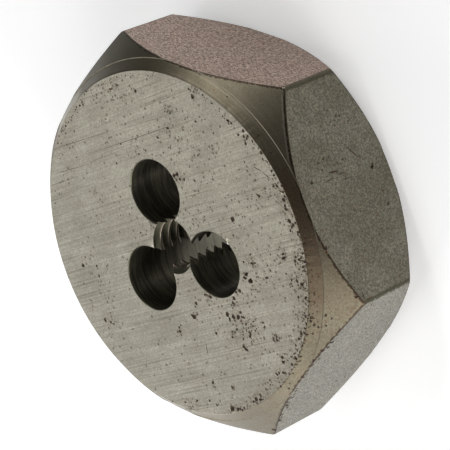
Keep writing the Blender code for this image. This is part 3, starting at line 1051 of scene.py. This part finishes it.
def rust_specks():
    """Group: small dark specks, thick in patches."""
    tree, nodes, source, sink = new_group(
        "rust_specks", (("Place", VECTOR, None), ("Size", FLOAT, 0.3), ("Amount", FLOAT, 0.3)),
        (("Specks", FLOAT), ("Halo", FLOAT)))
    warp = nodes.add(
        "ShaderNodeTexNoise", {"Vector": source["Place"], "Scale": 6.0, "Detail": 1.0}).outputs[1]
    warped = nodes.vector("ADD", source["Place"], nodes.vector("SCALE", warp, Scale=0.12))
    cells = nodes.add("ShaderNodeTexVoronoi", {
        "Vector": warped, "Scale": nodes.math("DIVIDE", 1.0, source["Size"]), "Randomness": 1.0,
    })
    patch = nodes.noise(source["Place"], 0.35, 3.0, 0.6)
    luck = nodes.separate(cells.outputs["Color"])[0]
    # A cell holds a speck where its luck is below the local amount.
    local = nodes.math("MULTIPLY", source["Amount"], nodes.ramp(patch, 0.35, 0.65, 0.25, 1.75))
    chosen = nodes.math("LESS_THAN", luck, local)
    distance = cells.outputs["Distance"]
    nodes.feed(sink["Specks"], nodes.math("MULTIPLY", nodes.ramp(distance, 0.2, 0.36, 1.0, 0.0), chosen))
    nodes.feed(sink["Halo"], nodes.math("MULTIPLY", nodes.ramp(distance, 0.2, 0.55, 1.0, 0.0), chosen))
    return tree


def rust_patches(sizes):
    """Group: 0 to 1 where the pits of the photograph lie thick on the face."""
    tree, nodes, source, sink = new_group("rust_patches", (("Place", VECTOR, None),), (("Stain", FLOAT),))
    stain = None
    for pixel, spread, count, width, finish in PIT_CLUSTERS.values():
        place = on_face(pixel, sizes)
        if finish == "pale_chip" or place.xy.length * MM > sizes.across_flats / 2:
            continue
        crowding = count * width ** 2 / (spread[0] * spread[1])
        strength = min(1.0, max(LEAST_STAIN, STAIN_GAIN * math.sqrt(crowding)))
        reach = STAIN_REACH * sum(spread) * PIXEL_ON_FACE
        gap = nodes.vector("DISTANCE", source["Place"], place)
        share = nodes.ramp(gap, *(fade * reach for fade in STAIN_FADE), strength, 0.0)
        stain = share if stain is None else nodes.math("MAXIMUM", stain, share)
    nodes.feed(sink["Stain"], stain)
    return tree


def edge_line():
    """Group: a thin uneven line along an edge, from the distance to it."""
    tree, nodes, source, sink = new_group(
        "edge_line", (("Gap", FLOAT, 0.0), ("Width", FLOAT, 0.1), ("Place", VECTOR, None)),
        (("Line", FLOAT),))
    ragged = nodes.noise(source["Place"], 4.0, 2.0, 0.6)
    reach = nodes.math("MULTIPLY", source["Width"], nodes.ramp(ragged, 0.3, 0.7, 0.5, 1.5))
    share = nodes.math("DIVIDE", nodes.math("ABSOLUTE", source["Gap"]), reach)
    nodes.feed(sink["Line"], nodes.ramp(share, 0.7, 1.1, 1.0, 0.0))
    return tree


# Finishes


def new_finish(name):
    """A new material: the tools for its nodes, and its shader's inputs."""
    material = bpy.data.materials.new(name)
    material.use_nodes = True
    return Nodes(material.node_tree), material.node_tree.nodes["Principled BSDF"].inputs


def ground_face(colours, groups):
    """The two round faces: surface ground steel with straight lines, a film of age, small rust specks and a
    painted light gradient.
    """
    nodes, shader = new_finish("ground_face")
    where = nodes.group(groups["die_places"])
    x, y, _ = nodes.separate(where["Place"])
    marks = nodes.group(groups["machining_marks"], lay=nodes.combine(y, 0.0, x), fineness=8.0, drift=0.14)
    grain = nodes.group(groups["steel_grain"], place=where["Place"], grain_size=0.12)
    stain = nodes.group(groups["rust_patches"], place=where["Place"])["Stain"]
    rim = nodes.ramp(where["Rim gap"], 0.2, 1.5, 1.0, 0.0)
    rusty = nodes.math("MAXIMUM", where["Rusty side"], where["Rust and painted shade side"])
    stain = nodes.math("MAXIMUM", stain, nodes.math("MULTIPLY", rim, rusty))
    amount = nodes.math("ADD", stain, SPECKS_ON_CLEAN_STEEL)
    specks = nodes.group(groups["rust_specks"], place=where["Place"], size=0.25, amount=amount)
    lines = nodes.ramp(marks["Lines"], 0.38, 0.62)
    colour = nodes.mix(lines, linear(colours.ground_steel), linear(colours.ground_line_and_highlight))
    # Painted light: the face gets lighter towards one side.
    colour = nodes.tint(colour, colours.pale_chip, where["Painted light gradient"], share=0.3)
    colour = nodes.tint(colour, colours.pale_chip, marks["Bright scratches"], share=0.3)
    colour = nodes.tint(colour, colours.green_flat, marks["Dark scratches"], share=0.45)
    colour = nodes.tint(colour, colours.turned_steel, nodes.ramp(grain["Mottle"], 0.35, 0.7, 0.0, 0.2))
    colour = nodes.tint(colour, colours.green_flat, grain["Tint"], share=0.18)
    colour = nodes.tint(colour, colours.turned_stain, grain["Grain"], share=0.22)
    colour = nodes.tint(colour, colours.flat_speck, grain["Dust"], share=0.2)
    faded = nodes.math("MULTIPLY", stain, nodes.ramp(grain["Tint"], 0.2, 1.0, 0.15, 0.5))
    colour = nodes.tint(colour, colours.band_steel, faded)
    colour = nodes.tint(colour, colours.pit_brown_and_shade, specks["Halo"], share=0.45)
    colour = nodes.tint(colour, colours.pit_brown_and_shade, specks["Specks"], share=0.8)
    nodes.feed(shader["Base Color"], colour)
    nodes.feed(shader["Metallic"], nodes.ramp(specks["Specks"], 0.0, 1.0, 0.85, 0.3))
    nodes.feed(shader["Roughness"], nodes.ramp(marks["Lines"], 0.3, 0.7, 0.48, 0.4))
    lines = nodes.math("MULTIPLY", marks["Lines"], 0.5)
    height = nodes.math("ADD", lines, nodes.math("MULTIPLY", grain["Grain"], 0.2))
    height = nodes.math("SUBTRACT", height, nodes.math("MULTIPLY", specks["Specks"], 0.8))
    nodes.bump(shader, height, strength=0.15)


def turned_finish(name, tint, colours, groups, roughness, rings):
    """Lathe turned steel: rings round the axis, a fine grain, stains, painted highlights and shade on some
    sides, and a dark line along the flats.
    """
    nodes, shader = new_finish(name)
    where = nodes.group(groups["die_places"])
    around_x, around_y, _ = nodes.separate(where["Around"])
    steep = nodes.math("ADD", where["Radius"], where["Depth"])
    # The direction round the axis, times about the radius in millimetres, is the way along a ring.
    along = [nodes.math("MULTIPLY", part, 12.0) for part in (around_x, around_y)]
    marks = nodes.group(groups["machining_marks"], lay=nodes.combine(*along, steep), fineness=5.0, drift=0.06)
    grain = nodes.group(groups["steel_grain"], place=where["Place"], grain_size=0.13)
    rusty = nodes.math("MAXIMUM", where["Rusty side"], where["Rust and painted shade side"])
    clean = nodes.math("SUBTRACT", 1.0, rusty)
    amount = nodes.math("MULTIPLY_ADD", rusty, 0.4, SPECKS_ON_CLEAN_STEEL)
    specks = nodes.group(groups["rust_specks"], place=where["Place"], size=0.26, amount=amount)
    lines = nodes.math("MULTIPLY", nodes.ramp(marks["Lines"], 0.35, 0.65, 0.0, rings), clean)
    colour = nodes.mix(lines, linear(tint), linear(colours.turned_stain))
    scratches = nodes.math("MULTIPLY", marks["Bright scratches"], clean)
    colour = nodes.tint(colour, colours.ground_line_and_highlight, scratches, share=rings * 0.4)
    colour = nodes.tint(colour, colours.turned_stain, nodes.ramp(grain["Mottle"], 0.4, 0.7, 0.0, 0.2))
    colour = nodes.tint(colour, colours.green_flat, grain["Tint"], share=0.25)
    colour = nodes.tint(colour, colours.turned_stain, grain["Grain"],
                        share=nodes.math("MULTIPLY_ADD", rusty, 0.3, 0.2))
    colour = nodes.tint(colour, colours.flat_speck, grain["Dust"], share=0.2)
    # Painted shade: brown on one side of the band and cone.
    colour = nodes.tint(colour, colours.pit_brown_and_shade, where["Rust and painted shade side"], share=rings * 1.6)
    colour = nodes.tint(colour, colours.turned_stain, where["Rusty side"], share=rings * 0.6)
    # Painted shade at one corner of the band and cone.
    colour = nodes.tint(colour, colours.corner_film_and_shade, where["Painted shade corner"], share=0.9 - rings * 1.5)
    # Painted highlight: a pale strip on one side.
    colour = nodes.tint(colour, colours.ground_line_and_highlight, where["Painted band highlight"], share=rings * 2)
    colour = nodes.tint(colour, colours.pit_brown_and_shade, specks["Specks"], share=0.65)
    # Painted highlight: a light line beside the flats on one side.
    beside_flat = nodes.math("SUBTRACT", where["Flat gap"], 0.15)
    painted_shine = nodes.group(groups["edge_line"], gap=beside_flat, width=0.04, place=where["Place"])["Line"]
    painted_shine = nodes.math("MULTIPLY", painted_shine, where["Painted edge highlight"])
    colour = nodes.tint(colour, colours.ground_line_and_highlight, painted_shine, share=0.25)
    line = nodes.group(groups["edge_line"], gap=where["Flat gap"], width=0.09, place=where["Place"])["Line"]
    colour = nodes.tint(colour, colours.darkest_brown, line, share=0.85)
    nodes.feed(shader["Base Color"], colour)
    shader["Metallic"].default_value = 0.85
    nodes.feed(shader["Roughness"], nodes.ramp(grain["Mottle"], 0.3, 0.7, roughness - 0.02, roughness + 0.03))
    lines = nodes.math("MULTIPLY", marks["Lines"], nodes.math("MULTIPLY", clean, 0.5))
    nodes.bump(shader, nodes.math("ADD", lines, nodes.math("MULTIPLY", grain["Grain"], 0.3)), strength=0.15)


def scraped_ledge(colours, groups):
    """The thin step between band and cone: scraped to bare steel and stained, least on the rusty side, with a
    painted highlight on one side.
    """
    nodes, shader = new_finish("scraped_ledge")
    where = nodes.group(groups["die_places"])
    grain = nodes.group(groups["steel_grain"], place=where["Place"], grain_size=0.2)
    stained = nodes.math(
        "MULTIPLY", grain["Tint"], nodes.math("MULTIPLY_ADD", where["Rusty side"], -0.15, 0.5))
    colour = nodes.mix(stained, linear(colours.scraped_ledge), linear(colours.turned_stain))
    # Painted highlight on one side of the ledge.
    colour = nodes.tint(colour, colours.pale_chip, where["Painted ledge highlight"], share=0.7)
    nodes.feed(shader["Base Color"], colour)
    shader["Metallic"].default_value = 0.9
    shader["Roughness"].default_value = 0.45


def bare_lead_in(colours, groups):
    """The short cone at the mouth of the thread: a painted highlight on one land, darker on the others."""
    nodes, shader = new_finish("bare_lead_in")
    where = nodes.group(groups["die_places"])
    grain = nodes.group(groups["steel_grain"], place=where["Place"], grain_size=0.2)
    # Painted highlight on one land; the other lands keep the darker stain colour.
    colour = nodes.mix(where["Painted land highlight"], linear(colours.turned_stain), linear(colours.pale_chip))
    colour = nodes.tint(colour, colours.turned_stain, grain["Tint"], share=0.5)
    nodes.feed(shader["Base Color"], colour)
    nodes.feed(shader["Metallic"], nodes.math("MULTIPLY_ADD", where["Painted land highlight"], -0.7, 0.9))
    nodes.feed(shader["Roughness"], nodes.math("MULTIPLY_ADD", where["Painted land highlight"], 0.2, 0.3))


def milled_flat(name, tint, warm_tint, colours, groups, contrast, stretch, film_reach):
    """A wrench flat: grainy milled steel in two tints under a thin film, dark along its edges."""
    nodes, shader = new_finish(name)
    where = nodes.group(groups["die_places"])
    # The grain lies in short strokes along the flat.
    strokes = nodes.vector("MULTIPLY", where["Place"], (1 / stretch, 1 / stretch, stretch))
    grain = nodes.group(groups["steel_grain"], place=strokes, grain_size=0.14)
    mottle = nodes.group(groups["steel_grain"], place=where["Place"])["Mottle"]
    specks = nodes.group(groups["rust_specks"], place=where["Place"], size=0.3, amount=contrast * 0.5)
    colour = nodes.mix(grain["Tint"], linear(tint), linear(warm_tint))
    colour = nodes.tint(colour, colours.ground_line_and_highlight, nodes.ramp(mottle, 0.4, 0.65, 0.0, 0.15))
    colour = nodes.tint(colour, colours.flat_speck, grain["Grain"], share=contrast)
    colour = nodes.tint(colour, colours.flat_speck, grain["Dust"], share=contrast * 1.15)
    colour = nodes.tint(colour, colours.pit_brown_and_shade, specks["Specks"], share=0.55)
    line = nodes.group(groups["edge_line"], gap=where["Cone gap"], width=0.06, place=where["Place"])["Line"]
    colour = nodes.tint(colour, colours.darkest_brown, line, share=0.75)
    # The rounded upright edges have kept an olive film.
    ragged = nodes.math("MULTIPLY_ADD", grain["Tint"], 0.03, where["Corner gap"])
    film = nodes.ramp(ragged, film_reach * 0.5, film_reach, 0.85, 0.0)
    colour = nodes.tint(colour, colours.corner_film_and_shade, film)
    nodes.feed(shader["Base Color"], colour)
    shader["Metallic"].default_value = 0.8
    nodes.feed(shader["Roughness"], nodes.ramp(grain["Grain"], 0.0, 1.0, 0.42, 0.58))
    height = nodes.math("SUBTRACT", grain["Grain"], nodes.math("MULTIPLY", specks["Specks"], 1.2))
    nodes.bump(shader, height, strength=0.5)


def drilled_hole(colours, groups):
    """The chip holes: burnt oil over drill marks that run round, and painted light in their lower half."""
    nodes, shader = new_finish("drilled_hole")
    where = nodes.group(groups["die_places"])
    marks = nodes.group(groups["machining_marks"], lay=where["Place"], fineness=6.0, drift=0.4)
    grain = nodes.group(groups["steel_grain"], place=where["Place"], grain_size=0.15)
    lines = nodes.ramp(marks["Lines"], 0.4, 0.6)
    colour = nodes.mix(lines, linear(colours.hole_film_and_shade), linear(colours.flat_speck))
    colour = nodes.tint(colour, colours.flat_speck, grain["Grain"], share=0.3)
    # Painted light: the lower half is lighter.
    height = nodes.separate(where["Place"])[2]
    colour = nodes.tint(colour, colours.ground_steel, nodes.ramp(height, 4.0, 5.5, 0.25, 0.0))
    nodes.feed(shader["Base Color"], colour)
    shader["Metallic"].default_value = 0.85
    shader["Roughness"].default_value = 0.4
    nodes.bump(shader, marks["Lines"], strength=0.6)


def cut_thread(sizes, colours, groups):
    """The thread: painted highlights on the crests, painted shade in the roots, and fine marks round the
    axis.
    """
    nodes, shader = new_finish("cut_thread")
    where = nodes.group(groups["die_places"])
    marks = nodes.group(groups["machining_marks"], lay=where["Place"], fineness=9.0, drift=0.4)
    grain = nodes.group(groups["steel_grain"], place=where["Place"], grain_size=0.12)
    # Painted highlight on the crests, darkening to painted shade in the roots.
    crest = (sizes.thread_diameter / 2 - thread_height(sizes)) / MM
    depth = nodes.math("MULTIPLY_ADD", grain["Tint"], 0.05, where["Radius"])
    dark = nodes.ramp(depth, crest + 0.06, crest + 0.2)
    colour = nodes.mix(dark, linear(colours.thread_steel), linear(colours.hole_film_and_shade))
    colour = nodes.tint(colour, colours.turned_stain, marks["Lines"], share=0.3)
    colour = nodes.tint(colour, colours.flat_speck, grain["Grain"], share=0.25)
    nodes.feed(shader["Base Color"], colour)
    shader["Metallic"].default_value = 0.85
    shader["Roughness"].default_value = 0.35
    nodes.bump(shader, marks["Lines"], strength=0.3)


def pit_finish(name, tint, second_tint, groups):
    """Inside of a pit: dull, crumbly and uneven in colour."""
    nodes, shader = new_finish(name)
    where = nodes.group(groups["die_places"])
    grain = nodes.group(groups["steel_grain"], place=where["Place"], grain_size=0.1)
    nodes.feed(shader["Base Color"], nodes.mix(grain["Grain"], linear(tint), linear(second_tint)))
    shader["Metallic"].default_value = 0.0
    shader["Roughness"].default_value = 0.75
    nodes.bump(shader, grain["Grain"], strength=0.5)


def make_finishes(sizes, colours):
    """Every material of the die, with the node groups that they share."""
    groups = {
        "die_places": die_places(sizes),
        "machining_marks": machining_marks(),
        "steel_grain": steel_grain(),
        "rust_specks": rust_specks(),
        "edge_line": edge_line(),
        "rust_patches": rust_patches(sizes),
    }
    ground_face(colours, groups)
    turned_finish("turned_band", colours.band_steel, colours, groups, roughness=0.37, rings=0.3)
    turned_finish("turned_cone", colours.turned_steel, colours, groups, roughness=0.38, rings=0.1)
    scraped_ledge(colours, groups)
    bare_lead_in(colours, groups)
    milled_flat("milled_flat_rosy", colours.rosy_flat, colours.rosy_grain, colours, groups,
                contrast=0.58, stretch=1.7, film_reach=0.085)
    milled_flat("milled_flat_green", colours.green_flat, colours.brown_grain, colours, groups,
                contrast=0.4, stretch=1.0, film_reach=0.085)
    milled_flat("milled_flat_pale", colours.pale_flat, colours.ground_steel, colours, groups,
                contrast=0.42, stretch=1.3, film_reach=0.03)
    drilled_hole(colours, groups)
    cut_thread(sizes, colours, groups)
    pit_finish("rust_pit", colours.pit_brown_and_shade, colours.darkest_brown, groups)
    pit_finish("orange_rust", colours.orange_rust, colours.pit_brown_and_shade, groups)
    pit_finish("pale_chip", colours.pale_chip, colours.ground_line_and_highlight, groups)


# Operators


class DIE_OT_build_body(bpy.types.Operator):
    """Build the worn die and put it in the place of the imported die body"""

    bl_idname = "die.build_body"
    bl_label = "Build Die Body"

    def execute(self, context):
        sizes = context.scene.die_sizes
        make_finishes(sizes, context.scene.die_colours)
        body = turned_hexagon(sizes)
        for finish in FINISHES:
            body.data.materials.append(bpy.data.materials[finish])
        for index in range(CHIP_HOLES):
            cut_away(body, chip_hole_cutter(sizes, index))
        cut_away(body, tap_cutter(sizes))
        for front in (True, False):
            cut_away(body, lead_in_cutter(sizes, front))
        cut_away(body, pit_cutter(body, sizes), overlaps=True)
        body.data.shade_smooth()
        body.data.set_sharp_from_angle(angle=SHARP_ANGLE)
        smoothing = body.modifiers.new("even_shading", "WEIGHTED_NORMAL")
        smoothing.keep_sharp = True
        smoothing.weight = 80
        keep_result(body)
        if not body.data.polygons:
            raise RuntimeError("the die body came out empty")
        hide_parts("die_body")
        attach(body, "root")
        return {"FINISHED"}


class DIE_OT_build_stage(bpy.types.Operator):
    """Build the floor, the lamps and the camera of the photograph"""

    bl_idname = "die.build_stage"
    bl_label = "Build Stage"

    def execute(self, context):
        values = context.scene.die_stage
        context.scene.view_settings.view_transform = "Standard"
        make_floor(values)
        make_sky(values)
        for name, (azimuth, elevation, size, power) in LAMPS.items():
            make_lamp(name, azimuth, elevation, size, power)
        make_camera()
        return {"FINISHED"}


def make_floor(values):
    """A plain pale floor, lifted towards white where the camera and reflections see it, shadows included."""
    bm = bmesh.new()
    bmesh.ops.create_grid(bm, x_segments=1, y_segments=1, size=values.floor_size / 2)
    floor = new_object("floor", bm)
    floor.location.z = -FLOOR_GAP
    material = bpy.data.materials.new("pale_floor")
    material.use_nodes = True
    material.node_tree.nodes.clear()
    nodes = Nodes(material.node_tree)
    rays = nodes.add("ShaderNodeLightPath").outputs
    seen = nodes.math("MAXIMUM", rays["Is Camera Ray"], rays["Is Glossy Ray"])
    seen = nodes.math("MAXIMUM", seen, rays["Is Transmission Ray"])
    # Under the die the lift is full, so that light comes up the holes as it does in the photograph.
    place = nodes.add("ShaderNodeTexCoord").outputs["Object"]
    level = nodes.ramp(nodes.vector("LENGTH", place), *WHITE_UNDER_DIE, 1.0, values.floor_lift)
    lift = nodes.math("MULTIPLY", seen, level)
    matt = nodes.add("ShaderNodeBsdfDiffuse", {"Color": linear(values.floor_colour)})
    glow = nodes.add("ShaderNodeEmission", {"Color": (1.0, 1.0, 1.0, 1.0), "Strength": lift})
    lit = nodes.add("ShaderNodeAddShader", {0: matt.outputs[0], 1: glow.outputs[0]})
    # From below the floor isn't there, so the underside of the die can be looked at.
    below = nodes.add("ShaderNodeNewGeometry").outputs["Backfacing"]
    clear_view = nodes.add("ShaderNodeBsdfTransparent")
    shown = nodes.add("ShaderNodeMixShader", {0: below, 1: lit.outputs[0], 2: clear_view.outputs[0]})
    nodes.add("ShaderNodeOutputMaterial", {"Surface": shown.outputs[0]})
    floor.data.materials.append(material)


def make_sky(values):
    """Even light from all around."""
    world = bpy.data.worlds.new("studio")
    world.use_nodes = True
    background = world.node_tree.nodes["Background"]
    background.inputs["Color"].default_value = (1.0, 1.0, 1.0, 1.0)
    background.inputs["Strength"].default_value = values.sky_level
    bpy.context.scene.world = world


def make_lamp(name, azimuth, elevation, size, power):
    """A soft lamp that faces the die."""
    lamp = bpy.data.lights.new(name, "AREA")
    lamp.shape = "RECTANGLE"
    lamp.size, lamp.size_y = size
    lamp.energy = power
    obj = bpy.data.objects.new(name, lamp)
    turn = Euler((math.radians(90 - elevation), 0, math.radians(90 + azimuth)), "XYZ")
    obj.location = turn.to_matrix() @ Vector((0, 0, LAMP_DISTANCE))
    obj.rotation_euler = turn
    bpy.context.scene.collection.objects.link(obj)


def make_camera():
    """The camera of the photograph, rolled as it was."""
    data = bpy.data.cameras.new("photo_camera")
    data.sensor_width = SENSOR_WIDTH
    data.lens = CAMERA_LENS
    data.clip_start = 0.01
    data.clip_end = 50.0
    camera = bpy.data.objects.new("photo_camera", data)
    camera.location = CAMERA_PLACE
    camera.rotation_euler = CAMERA_TURN
    bpy.context.scene.collection.objects.link(camera)
    bpy.context.scene.camera = camera


class DIE_PT_panel(bpy.types.Panel):
    """Lists the operators and their values"""

    bl_label = "Threading Die"
    bl_idname = "DIE_PT_panel"
    bl_space_type = "VIEW_3D"
    bl_region_type = "UI"
    bl_category = "Threading Die"

    def draw(self, context):
        layout = self.layout
        scene = context.scene
        groups = {"Sizes": scene.die_sizes, "Colours": scene.die_colours, "Stage": scene.die_stage}
        for title, group in groups.items():
            box = layout.box()
            box.label(text=title)
            for name in group.__annotations__:
                box.prop(group, name)
        layout.operator(DIE_OT_build_body.bl_idname)
        layout.operator(DIE_OT_build_stage.bl_idname)


CLASSES = (DieSizes, DieColours, StageValues, DIE_OT_build_body, DIE_OT_build_stage, DIE_PT_panel)


def register():
    """Make the classes known to Blender and hang their values on the scene."""
    for cls in CLASSES:
        bpy.utils.register_class(cls)
    bpy.types.Scene.die_sizes = PointerProperty(type=DieSizes)
    bpy.types.Scene.die_colours = PointerProperty(type=DieColours)
    bpy.types.Scene.die_stage = PointerProperty(type=StageValues)


def unregister():
    """Undo what register does."""
    del bpy.types.Scene.die_stage
    del bpy.types.Scene.die_colours
    del bpy.types.Scene.die_sizes
    for cls in reversed(CLASSES):
        bpy.utils.unregister_class(cls)


def main():
    """Build everything in order."""
    register()
    bpy.ops.die.build_body()
    bpy.ops.die.build_stage()


if __name__ == "__main__":
    main()
